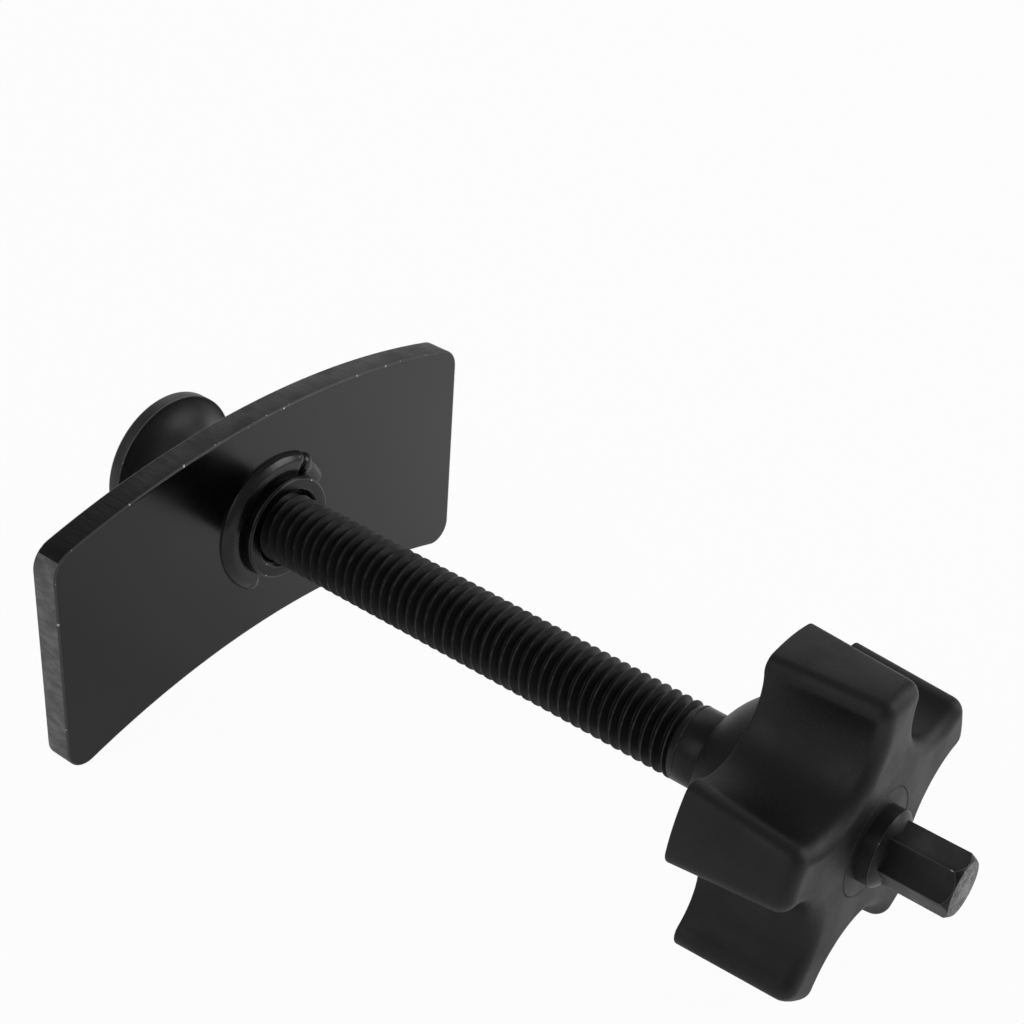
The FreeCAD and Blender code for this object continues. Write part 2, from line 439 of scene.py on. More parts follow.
@dataclass
class Surface:
    """A material's shader and the place on its piece, while a finish is laid."""

    tree: Tree
    shader: bpy.types.Node
    place: Socket

    def relief(self, height: Socket, depth_mm: float) -> None:
        """Put a relief under the shader, over any relief it has.

        Args:
            height: output that holds the relief's shape.
            depth_mm: depth of the relief.
        """
        links = {"Height": height}
        below = self.shader.inputs["Normal"].links
        if below:
            links["Normal"] = below[0].from_socket
        settings = {"Strength": 1.0, "Distance": depth_mm * MM}
        bump = add_node(self.tree, "ShaderNodeBump", settings, links)
        self.tree.links.new(bump.outputs["Normal"], self.shader.inputs["Normal"])

    def tint(self, share: Socket, colour: str) -> None:
        """Mix another colour into the shader's.

        Args:
            share: output that says how much of the colour shows.
            colour: sRGB hex colour.
        """
        mix = add_node(self.tree, "ShaderNodeMix", {"data_type": "RGBA"}, {MIX_SHARE: share})
        under = self.shader.inputs["Base Color"]
        if under.links:
            self.tree.links.new(under.links[0].from_socket, mix.inputs[MIX_UNDER])
        else:
            mix.inputs[MIX_UNDER].default_value = under.default_value
        mix.inputs[MIX_OVER].default_value = linear(colour)
        self.tree.links.new(mix.outputs[MIX_RESULT], under)

    def patches(self, size_mm: float, detail: float, source: tuple[float, float],
                result: tuple[float, float]) -> Socket:
        """Spread blotches of one size, with their values mapped smoothly.

        Args:
            size_mm: real size of a blotch.
            detail: how far the blotches break up.
            source: span of the noise that is mapped.
            result: span that it is mapped to.

        Returns:
            The mapped value.
        """
        noise = add_node(self.tree, "ShaderNodeTexNoise", blotches(size_mm, detail), {"Vector": self.place})
        return add_node(self.tree, "ShaderNodeMapRange", mapped(source, result),
                        {"Value": noise.outputs["Fac"]}).outputs["Result"]

    def round_axis(self) -> tuple[Socket, Socket]:
        """Measure each place from the screw's axis.

        Returns:
            The distance from the axis, and the place along it.
        """
        axes = add_node(self.tree, "ShaderNodeSeparateXYZ", links={"Vector": self.place})
        flat = add_node(self.tree, "ShaderNodeCombineXYZ", links={
            "X": axes.outputs["X"], "Z": axes.outputs["Z"]})
        away = add_node(self.tree, "ShaderNodeVectorMath", {"operation": "LENGTH"},
                        {0: flat.outputs["Vector"]})
        return away.outputs["Value"], axes.outputs["Y"]


@dataclass(frozen=True)
class Finish:
    """A surface with a colour, a gloss and a fine relief, as every finish here has."""

    name: str
    colour: str
    roughness: float
    grain_mm: float
    grain_height_mm: float
    mottle_mm: float
    mottle: float
    metallic: float = 0.0
    specular: float = 0.5
    grain_detail: float = 3.0
    mottle_detail: float = 5.0
    mottle_span: tuple[float, float] = (0.35, 0.65)

    def make(self) -> bpy.types.Material:
        """Build the node material.

        Returns:
            The new material.
        """
        material = bpy.data.materials.new(self.name)
        tree = empty_tree(material)
        shader = add_node(tree, "ShaderNodeBsdfPrincipled", {
            "Base Color": linear(self.colour), "Roughness": self.roughness,
            "Metallic": self.metallic, "Specular IOR Level": self.specular})
        add_node(tree, "ShaderNodeOutputMaterial", links={"Surface": shader.outputs["BSDF"]})
        place = add_node(tree, "ShaderNodeTexCoord").outputs["Object"]
        self.lay(Surface(tree, shader, place))
        return material

    def lay(self, surface: Surface) -> None:
        """Lay the grain and the mottled gloss.

        Args:
            surface: the material's surface.
        """
        grain = add_node(surface.tree, "ShaderNodeTexNoise", blotches(self.grain_mm, self.grain_detail),
                         {"Vector": surface.place})
        surface.relief(grain.outputs["Fac"], self.grain_height_mm)
        gloss = (self.roughness - self.mottle, self.roughness + self.mottle)
        rough = surface.patches(self.mottle_mm, self.mottle_detail, self.mottle_span, gloss)
        surface.tree.links.new(rough, surface.shader.inputs["Roughness"])


@dataclass(frozen=True)
class ChippedEdge(Finish):
    """Enamel drawn thin over an edge, knocked through to bright steel in a few places; the pale colour given
    to each such edge is also a painted highlight.
    """

    chip_mm: float = 1.1
    chip_from: float = 0.66
    chip_fade: float = 0.03
    chip_detail: float = 2.0
    chip_colour: str = "#cfcecb"

    def lay(self, surface: Surface) -> None:
        """Lay the enamel, then the chips of bare steel.

        Args:
            surface: the material's surface.
        """
        super().lay(surface)
        edge = (self.chip_from, self.chip_from + self.chip_fade)
        chips = surface.patches(self.chip_mm, self.chip_detail, edge, (0.0, 1.0))
        surface.tint(chips, self.chip_colour)
        surface.tree.links.new(chips, surface.shader.inputs["Metallic"])


@dataclass(frozen=True)
class ShearedEdge(Finish):
    """A thin coat over the marks that a shear or a saw left."""

    streak_mm: float = 0.9
    streak_length_mm: float = 7.0
    streak_height_mm: float = 0.06
    streak_detail: float = 2.0
    bare: float = 0.0
    bare_span: tuple[float, float] = (0.4, 0.7)
    bare_colour: str = "#c9c8c5"

    def lay(self, surface: Surface) -> None:
        """Lay the coat, then streaks along Y, with bare steel on some of them.

        Args:
            surface: the material's surface.
        """
        super().lay(surface)
        share = self.streak_mm / self.streak_length_mm
        drawn = add_node(surface.tree, "ShaderNodeMapping", {"Scale": (1, share, 1)},
                         {"Vector": surface.place})
        streaks = add_node(surface.tree, "ShaderNodeTexNoise", blotches(self.streak_mm, self.streak_detail),
                           {"Vector": drawn.outputs["Vector"]}).outputs["Fac"]
        surface.relief(streaks, self.streak_height_mm)
        if self.bare:
            steel = add_node(surface.tree, "ShaderNodeMapRange", mapped(self.bare_span, (0.0, self.bare)),
                             {"Value": streaks})
            surface.tint(steel.outputs["Result"], self.bare_colour)


@dataclass(frozen=True)
class TurnedSurface(Finish):
    """A lathe's feed marks, as rings along the axis and on the faces, drawn coarse enough to show."""

    feed_mm: float = 0.35
    feed_height_mm: float = 0.006

    def lay(self, surface: Surface) -> None:
        """Lay the common finish, then the rings of the feed.

        Args:
            surface: the material's surface.
        """
        super().lay(surface)
        away, along = surface.round_axis()
        reach = add_node(surface.tree, "ShaderNodeMath", {"operation": "ADD"}, {0: away, 1: along})
        turns = add_node(surface.tree, "ShaderNodeMath", {
            "operation": "MULTIPLY", 1: per_metre(self.feed_mm) * WHOLE_TURN}, {0: reach.outputs["Value"]})
        wave = add_node(surface.tree, "ShaderNodeMath", {"operation": "SINE"}, {0: turns.outputs["Value"]})
        surface.relief(wave.outputs["Value"], self.feed_height_mm)


@dataclass(frozen=True)
class RolledThread(Finish):
    """Oiled black oxide on a rolled thread, lighter on its crests: partly rubbed by the bush, partly a
    painted highlight along each crest.
    """

    crest_mm: float = 6.35
    rub_and_highlight_mm: float = 0.16
    rub_and_highlight_colour: str = "#454547"
    patch_mm: float = 1.6
    patch_detail: float = 4.0
    patch_span: tuple[float, float] = (0.42, 0.7)
    patch_share: tuple[float, float] = (0.25, 1.0)

    def lay(self, surface: Surface) -> None:
        """Lay the oxide, then the patchily lighter crests, which are rub wear and painted highlight
        together.

        Args:
            surface: the material's surface.
        """
        super().lay(surface)
        tree = surface.tree
        away, _ = surface.round_axis()
        top = ((self.crest_mm - self.rub_and_highlight_mm) * MM, self.crest_mm * MM)
        crest = add_node(tree, "ShaderNodeMapRange", mapped(top, (0.0, 1.0)), {"Value": away})
        crest_patches = surface.patches(self.patch_mm, self.patch_detail, self.patch_span, self.patch_share)
        crest_rub_and_highlight = add_node(tree, "ShaderNodeMath", {"operation": "MULTIPLY"},
                          {0: crest.outputs["Result"], 1: crest_patches})
        # Painted highlight together with rub wear: the crests are tinted lighter.
        surface.tint(crest_rub_and_highlight.outputs["Value"], self.rub_and_highlight_colour)


# Baked enamel on cold rolled plate: deep black, glossy with a soft haze, faint orange peel.
PLATE_ENAMEL = Finish(
    "plate_baked_black_enamel", "#080809", roughness=0.2, grain_mm=1.6, grain_height_mm=0.002,
    mottle_mm=14.0, mottle=0.03)
# The same enamel over the sheared edge: thin and streaky, it scatters the light.
EDGE_ENAMEL = ShearedEdge(
    "plate_edge_black_enamel", "#0d0d0e", roughness=0.36, grain_mm=0.6, grain_height_mm=0.012,
    mottle_mm=5.0, mottle=0.08, specular=0.36)
# Thin enamel on the rim, with a few bright chips; its fine pale line is a painted highlight along the arris.
RIM_ENAMEL_AND_HIGHLIGHT = ChippedEdge(
    "plate_rim_chipped_enamel_and_highlight", "#4c4c4e", roughness=0.36, grain_mm=0.4, grain_height_mm=0.006,
    mottle_mm=5.0, mottle=0.08, chip_mm=1.0)
# Enamel drawn thin and rough over the sheared ends, where grey steel shows through. Its light grey is also
# painted light, standing in for the light that falls on the ends.
END_ENAMEL_PAINTED_LIGHT = ShearedEdge(
    "plate_end_thin_enamel_painted_light", "#626263", roughness=0.46, grain_mm=0.6, grain_height_mm=0.03,
    mottle_mm=4.0, mottle=0.1, streak_mm=1.2, streak_length_mm=3.0, streak_height_mm=0.15, bare=0.22)
# Enamel flowed over a weld bead: wet gloss on soft ripples.
WELD_ENAMEL = Finish(
    "weld_bead_gloss_enamel", "#0a0a0b", roughness=0.26, grain_mm=0.9, grain_height_mm=0.012,
    mottle_mm=3.0, mottle=0.04)
# Enamel over a turned collar: gloss with the faintest rings, and a thin greyer rim, which is a painted
# highlight along its edge, with a few chips.
BUSH_ENAMEL = TurnedSurface(
    "bush_turned_black_enamel", "#060607", roughness=0.24, grain_mm=0.5, grain_height_mm=0.003,
    mottle_mm=4.0, mottle=0.05, specular=0.3)
BUSH_RIM_AND_HIGHLIGHT = ChippedEdge(
    "bush_rim_enamel_and_highlight", "#1c1c1e", roughness=0.24, grain_mm=0.4, grain_height_mm=0.003,
    mottle_mm=3.0, mottle=0.05, chip_from=0.7)
# Enamel on a turned foot: satin with feed rings, and a thin pale rim. Its grey is painted light: black
# enamel lightened where the plate shades the foot from the light.
FOOT_ENAMEL_PAINTED_LIGHT = TurnedSurface(
    "foot_turned_black_enamel_painted_light", "#2e2e2f", roughness=0.42, grain_mm=0.5, grain_height_mm=0.003,
    mottle_mm=5.0, mottle=0.05, specular=0.65, feed_height_mm=0.003)
# Pale foot rim: a painted highlight along its edge, with a few worn chips.
FOOT_RIM_AND_HIGHLIGHT = ChippedEdge(
    "foot_rim_enamel_and_highlight", "#6a6a6c", roughness=0.3, grain_mm=0.4, grain_height_mm=0.003,
    mottle_mm=3.0, mottle=0.05, chip_from=0.7)
# Black oxide on rolled steel: dark, oily satin, lighter on the crests, where the bush has rubbed them and a
# painted highlight runs along them.
THREAD_OXIDE = RolledThread(
    "screw_rolled_black_oxide", "#151516", roughness=0.5, grain_mm=0.3, grain_height_mm=0.004,
    mottle_mm=3.0, mottle=0.06, specular=0.24)
# Black oxide on turned steel: satin with fine rings, and grey edges, worn and carrying a painted highlight.
TURNED_OXIDE = TurnedSurface(
    "screw_turned_black_oxide", "#121213", roughness=0.38, grain_mm=0.35, grain_height_mm=0.003,
    mottle_mm=4.0, mottle=0.05, specular=0.34)
WORN_OXIDE_AND_HIGHLIGHT = ChippedEdge(
    "screw_edge_worn_oxide_and_highlight", "#3e3e40", roughness=0.36, grain_mm=0.3, grain_height_mm=0.003,
    mottle_mm=2.0, mottle=0.05, chip_mm=0.8)
# Sawn end of the drive: grey steel under a thin oxide, with brighter marks.
SAWN_END = ShearedEdge(
    "screw_end_sawn_steel", "#464647", roughness=0.42, grain_mm=0.5, grain_height_mm=0.01,
    mottle_mm=3.0, mottle=0.1, streak_mm=0.5, streak_length_mm=2.5, bare=0.45)
# Glass-filled nylon from a spark-eroded mould: matt, with a fine even grain.
KNOB_NYLON = Finish(
    "knob_textured_black_nylon", "#0f1012", roughness=0.52, grain_mm=0.3, grain_height_mm=0.04,
    mottle_mm=11.0, mottle=0.06)
# Blued spring steel: dark and smooth.
SPRING_STEEL = Finish(
    "ring_blued_spring_steel", "#3a3b40", roughness=0.32, grain_mm=0.4, grain_height_mm=0.003,
    mottle_mm=3.0, mottle=0.06, metallic=1.0)


def dress(piece: Piece, body: Body, slot: str, node: str, *finishes: Finish) -> None:
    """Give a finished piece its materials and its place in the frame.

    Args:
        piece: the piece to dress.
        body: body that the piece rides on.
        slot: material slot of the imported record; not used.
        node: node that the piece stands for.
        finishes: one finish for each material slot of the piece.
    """
    for index, finish in enumerate(finishes):
        material = bpy.data.materials.get(finish.name) or finish.make()
        if index < len(piece.material_slots):
            piece.material_slots[index].material = material
        else:
            piece.data.materials.append(material)
    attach(piece, body.value)
    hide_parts(node)
    log.info("%s: %d faces on %s", piece.name, len(piece.data.polygons), body.value)


# Sub-assemblies


@dataclass
class SpreaderPlate:
    """Arched steel plate with round corners, broken rims and the bush's hole."""

    top_radius: float = 171.8 * MM
    bottom_radius: float = 145.4 * MM
    bottom_height: float = 20.2 * MM
    top_corner: float = 4.5 * MM
    bottom_corner: float = 3.8 * MM
    rim: float = 0.32 * MM
    rim_segments: int = 4
    hole_radius: float = 8.0 * MM
    arch_steps: int = 96
    top_steps: int = 12
    bottom_steps: int = 16
    shortest_run: float = 0.2 * MM
    face_share: float = 0.5
    end_share: float = 0.75

    def outline(self) -> Pen:
        """Draw the outline once round.

        Returns:
            The pen that drew it.
        """
        low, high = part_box("spreader_plate")
        side = high.x
        top_centre = high.z - self.top_radius
        low_centre = -self.bottom_height - self.bottom_radius
        top_reach = self.top_radius - self.top_corner
        low_reach = self.bottom_radius + self.bottom_corner
        top_lean = math.degrees(math.asin((side - self.top_corner) / top_reach))
        low_lean = math.degrees(math.asin((side - self.bottom_corner) / low_reach))
        top_z = top_centre + top_reach * math.cos(math.radians(top_lean))
        low_z = low_centre + low_reach * math.cos(math.radians(low_lean))
        lean = math.radians(top_lean)
        pen = Pen("spreader_plate_body", Sheet.SECTION, self.top_radius * math.sin(lean),
                  top_centre + self.top_radius * math.cos(lean))
        pen.arc(0, top_centre, 2 * top_lean, self.arch_steps)
        pen.arc(self.top_corner - side, top_z, 90 - top_lean, self.top_steps)
        pen.line((-side, low_z))
        pen.arc(self.bottom_corner - side, low_z, 90 + low_lean, self.bottom_steps)
        pen.arc(0, low_centre, -2 * low_lean, self.arch_steps)
        pen.arc(side - self.bottom_corner, low_z, 90 + low_lean, self.bottom_steps)
        pen.line((side, top_z))
        pen.arc(side - self.top_corner, top_z, 90 - top_lean, self.top_steps)
        return pen

    def slot_of(self, normal: Vector) -> int:
        """Choose the material slot of a face.

        Args:
            normal: the face's normal.

        Returns:
            The slot of the plate's faces, its long edges or its ends.
        """
        if abs(normal.y) > self.face_share:
            return PLATE_FACE
        # Faces square to X are the plate's ends, whose lighter enamel is partly painted light.
        return PLATE_END if abs(normal.x) > self.end_share else PLATE_EDGE

    def build(self) -> None:
        """Press the plate, break its rims, bore it and dress it."""
        low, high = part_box("spreader_plate")
        plate = self.outline().pressed(low.y, high.y - low.y, self.shortest_run)
        add_slots(plate, PLATE_END + 1)
        for face in plate.data.polygons:
            face.material_index = self.slot_of(face.normal)
        soften(plate, self.rim, self.rim_segments, PLATE_RIM)
        pick(plate, Part.FACE, at_level(low.y, high.y))
        bpy.ops.mesh.inset(thickness=self.rim)
        clear_bench()
        bpy.ops.mesh.primitive_cylinder_add(
            vertices=SMALL_STEPS, radius=self.hole_radius, depth=4 * high.y, location=ORIGIN,
            rotation=(QUARTER_TURN, 0, 0))
        combine(plate, bpy.context.object, "DIFFERENCE")
        smooth(plate)
        dress(plate, Body.PLATE, "plate_coating", "spreader_plate",
              PLATE_ENAMEL, EDGE_ENAMEL, RIM_ENAMEL_AND_HIGHLIGHT, END_ENAMEL_PAINTED_LIGHT)


@dataclass
class ThreadedBush:
    """Round weld nut: collar on the bearing face, pilot through the plate, countersunk bore."""

    bore_radius: float = 6.42 * MM
    pilot_radius: float = 8.0 * MM
    sink_radius: float = 7.35 * MM
    sink_depth: float = 0.9 * MM
    chamfer: float = 0.35 * MM
    rim: float = 0.14 * MM

    def build(self) -> None:
        """Turn the bush and dress it."""
        low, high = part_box("threaded_bush")
        outer = high.x
        pen = Pen("threaded_bush_body", Sheet.PROFILE, self.bore_radius, low.y + self.sink_depth)
        pen.line((self.sink_radius, low.y), (outer - self.chamfer, low.y), (outer, low.y + self.chamfer),
                 (outer, 0), (self.pilot_radius, 0), (self.pilot_radius, high.y),
                 (self.bore_radius, high.y), (self.bore_radius, low.y + self.sink_depth))
        bush = round_wear_and_highlight_edges(pen.turned(ROUND_STEPS), self.rim, ROUND_RIM)
        dress(bush, Body.PLATE, "bush_coating", "threaded_bush", BUSH_ENAMEL, BUSH_RIM_AND_HIGHLIGHT)


@dataclass
class WeldRun:
    """One run of weld bead round the bush, swollen where it starts and stops.

    The section's corners are shares of the reach, from the toe inward, and of the rise.
    """

    name: str
    start: float
    end: float
    start_ball: float
    end_ball: float
    reach: float
    rise: float
    wall: float = 9.575 * MM
    root: float = 0.35 * MM
    section: tuple[tuple[float, float], ...] = ((0.14, 0.62), (0.42, 1.08), (0.74, 1.2))
    wall_rise: float = 1.1
    steps: int = 90
    ball_height: float = 0.85
    ball_steps: int = 32
    grain: float = 0.15 * MM
    melt_share: float = 0.5
    melt_rounds: int = 14
    shade_angle: float = 60

    def ball(self, degrees: float, radius: float) -> Piece:
        """Model the swelling at one end, flattened on the plate.

        Args:
            degrees: place of the swelling round the bush.
            radius: its radius.

        Returns:
            The swelling.
        """
        angle = math.radians(degrees)
        away = self.wall + self.reach / 2
        clear_bench()
        bpy.ops.mesh.primitive_uv_sphere_add(
            segments=self.ball_steps, ring_count=self.ball_steps // 2, radius=radius,
            rotation=(QUARTER_TURN, 0, 0), location=(away * math.cos(angle), 0, away * math.sin(angle)))
        bpy.ops.object.transform_apply(location=True, rotation=True)
        bpy.ops.transform.resize(value=(1, self.ball_height, 1), center_override=ORIGIN)
        bpy.ops.object.transform_apply(scale=True, location=True)
        return bpy.context.object

    def build(self) -> None:
        """Sweep the bead, join its swellings on, melt them together and dress it."""
        toe = self.wall + self.reach
        inner = self.wall - self.root
        pen = Pen(self.name, Sheet.PROFILE, inner, self.root)
        pen.line((toe, self.root), (toe, 0))
        pen.line(*((toe - self.reach * inward, -self.rise * up) for inward, up in self.section))
        pen.line((inner, -self.rise * self.wall_rise))
        bead = pen.swept(self.start, self.end, self.steps)
        for degrees, radius in ((self.start, self.start_ball), (self.end, self.end_ball)):
            combine(bead, self.ball(degrees, radius), "UNION")
        apply_modifier(bead, "REMESH", mode="VOXEL", voxel_size=self.grain)
        apply_modifier(bead, "SMOOTH", factor=self.melt_share, iterations=self.melt_rounds)
        smooth(bead, self.shade_angle)
        dress(bead, Body.PLATE, "weld_coating", "bush_weld", WELD_ENAMEL)


@dataclass
class Weld:
    """The long bead that holds the bush, and the short run where it was started."""

    runs: tuple[WeldRun, ...] = (
        WeldRun("weld_long_run", start=64.0, end=236.0, start_ball=1.7 * MM, end_ball=1.8 * MM,
                reach=3.6 * MM, rise=1.4 * MM),
        WeldRun("weld_short_run", start=24.0, end=53.0, start_ball=1.2 * MM, end_ball=2.0 * MM,
                reach=3.0 * MM, rise=1.1 * MM))

    def build(self) -> None:
        """Lay both runs."""
        for run in self.runs:
            run.build()


@dataclass
class ScrewRod:
    """Turned and rolled rod: journal, thread, shank, collar and hexagonal drive."""

    pitch: float = 25.4 / 13 * MM
    depth_share: float = 0.6134
    crest_share: float = 1 / 8
    flank_angle: float = 30.0
    root_round: float = 0.07 * MM
    lead_in: float = 0.4
    spare_turns: int = 2
    thread_steps: int = 72
    thread_shade_angle: float = 40
    knob_end: float = -87.6 * MM
    foot_end: float = 14.0 * MM
    shank_radius: float = 6.3 * MM
    shank_rim: float = 0.12 * MM
    seat_radius: float = 6.2 * MM
    run_out: float = 2.2 * MM
    journal_radius: float = 4.0 * MM
    journal_chamfer: float = 0.5 * MM
    journal_rim: float = 0.08 * MM
    groove_depth: float = 0.5 * MM
    knob_face: float = -120.6 * MM
    collar_length: float = 1.9 * MM
    collar_chamfer: float = 0.35 * MM
    cone_length: float = 0.9 * MM
    across_flats: float = 8.9 * MM
    end_chamfer: float = 1.0 * MM
    end_radius: float = 4.35 * MM
    drive_rim: float = 0.16 * MM
    drive_shade_angle: float = 20

    def thread(self) -> Piece:
        """Wind one groove's profile past both ends of the thread, cut it off and chamfer its end.

        Returns:
            The closed thread.
        """
        crest_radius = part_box("screw_rod")[1].x
        depth = self.depth_share * self.pitch
        root_radius = crest_radius - depth
        crest = self.crest_share * self.pitch
        flank = depth * math.tan(math.radians(self.flank_angle))
        root = self.pitch - crest - 2 * flank
        turns = math.ceil((self.foot_end - self.knob_end) / self.pitch) + self.spare_turns + 1
        base = self.knob_end - self.spare_turns * self.pitch
        pen = Pen("screw_thread", Sheet.PROFILE, crest_radius, base)
        pen.line((crest_radius, base + crest), (root_radius, base + crest + flank),
                 (root_radius, base + crest + flank + root), (crest_radius, base + self.pitch))
        thread = pen.piece
        pick(thread, Part.CORNER, lambda spot, way: base + CLOSE < spot.y < base + self.pitch - CLOSE)
        bpy.ops.mesh.bevel(affect="VERTICES", offset=self.root_round, segments=FINE_RIM)
        bpy.ops.object.mode_set(mode="OBJECT")
        apply_modifier(thread, "SCREW", axis="Y", angle=WHOLE_TURN, steps=self.thread_steps,
                       render_steps=self.thread_steps, iterations=turns, screw_offset=self.pitch)
        for level, inner in ((self.knob_end - self.lead_in * self.pitch, True), (self.foot_end, False)):
            take(thread)
            bpy.ops.object.mode_set(mode="EDIT")
            bpy.ops.mesh.select_all(action="SELECT")
            bpy.ops.mesh.remove_doubles(threshold=CLOSE)
            bpy.ops.mesh.bisect(plane_co=(0, level, 0), plane_no=Y_AXIS, use_fill=True, threshold=CLOSE,
                                clear_inner=inner, clear_outer=not inner)
        seal(thread)
        outside = crest_radius + depth
        pen = Pen("thread_envelope", Sheet.PROFILE, 0, self.foot_end + self.pitch)
        pen.line((0, self.knob_end - self.pitch), (outside, self.knob_end - self.pitch),
                 (outside, self.foot_end - 2 * depth), (root_radius, self.foot_end),
                 (root_radius, self.foot_end + self.pitch), (0, self.foot_end + self.pitch))
        combine(thread, pen.turned(BROAD_STEPS), "INTERSECT")
        smooth(thread, self.thread_shade_angle)
        return thread

    def shank(self) -> Piece:
        """Turn the thread's run-out, the shank, the seat and the collar.

        Returns:
            The closed stretch.
        """
        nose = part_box("star_knob")[1].y
        collar = self.knob_face - self.collar_length
        cone = collar - self.cone_length
        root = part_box("screw_rod")[1].x - self.depth_share * self.pitch
        pen = Pen("screw_shank", Sheet.PROFILE, 0, self.knob_end + self.run_out)
        pen.line((root, self.knob_end + self.run_out), (self.shank_radius, self.knob_end),
                 (self.shank_radius, nose), (self.seat_radius, nose),
                 (self.seat_radius, collar + self.collar_chamfer),
                 (self.seat_radius - self.collar_chamfer, collar), (self.across_flats / 2, cone), (0, cone))
        return round_wear_and_highlight_edges(pen.turned(ROUND_STEPS), self.shank_rim, FINE_RIM)

    def drive(self) -> Piece:
        """Cut the hexagonal drive end.

        Returns:
            The closed stretch.
        """
        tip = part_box("screw_rod")[0].y
        collar = self.knob_face - self.collar_length
        corner = self.across_flats / math.sqrt(3)
        half_side = math.pi / 6
        clear_bench()
        bpy.ops.mesh.primitive_cylinder_add(
            vertices=6, radius=corner, depth=collar - tip, location=(0, (collar + tip) / 2, 0),
            rotation=(QUARTER_TURN, half_side, 0))
        drive = bpy.context.object
        drive.name = "drive_hexagon"
        bpy.ops.object.transform_apply(location=True, rotation=True)
        pen = Pen("drive_trim", Sheet.PROFILE, 0, tip)
        pen.line((self.end_radius, tip), (corner, tip + self.end_chamfer),
                 (corner, collar - self.cone_length), (self.seat_radius - self.collar_chamfer, collar),
                 (0, collar), (0, tip))
        combine(drive, pen.turned(SMALL_STEPS), "INTERSECT")
        add_slots(drive, END_SLOT + 1)
        for face in drive.data.polygons:
            face.material_index = END_SLOT if face.normal.y < -SQUARE else BODY_SLOT
        return round_wear_and_highlight_edges(drive, self.drive_rim, ROUND_RIM, self.drive_shade_angle)

    def journal(self) -> Piece:
        """Turn the journal that the foot swivels on, with its ring groove.

        Returns:
            The closed stretch.
        """
        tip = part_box("screw_rod")[1].y
        ring_low, ring_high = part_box("foot_retaining_ring")
        radius = self.journal_radius
        groove = radius - self.groove_depth
        start = self.foot_end - self.pitch
        pen = Pen("foot_journal", Sheet.PROFILE, 0, start)
        pen.line((radius, start), (radius, ring_low.y), (groove, ring_low.y), (groove, ring_high.y),
                 (radius, ring_high.y), (radius, tip - self.journal_chamfer),
                 (radius - self.journal_chamfer, tip), (0, tip))
        return round_wear_and_highlight_edges(pen.turned(SMALL_STEPS), self.journal_rim, FINE_RIM)

    def build(self) -> None:
        """Make the rod's four stretches and dress them."""
        oxide = (TURNED_OXIDE, WORN_OXIDE_AND_HIGHLIGHT)
        for stretch, finishes in ((self.thread(), (THREAD_OXIDE,)), (self.shank(), oxide),
                                  (self.drive(), (*oxide, SAWN_END)), (self.journal(), oxide)):
            dress(stretch, Body.SCREW, "screw_oxide", "screw_rod", *finishes)


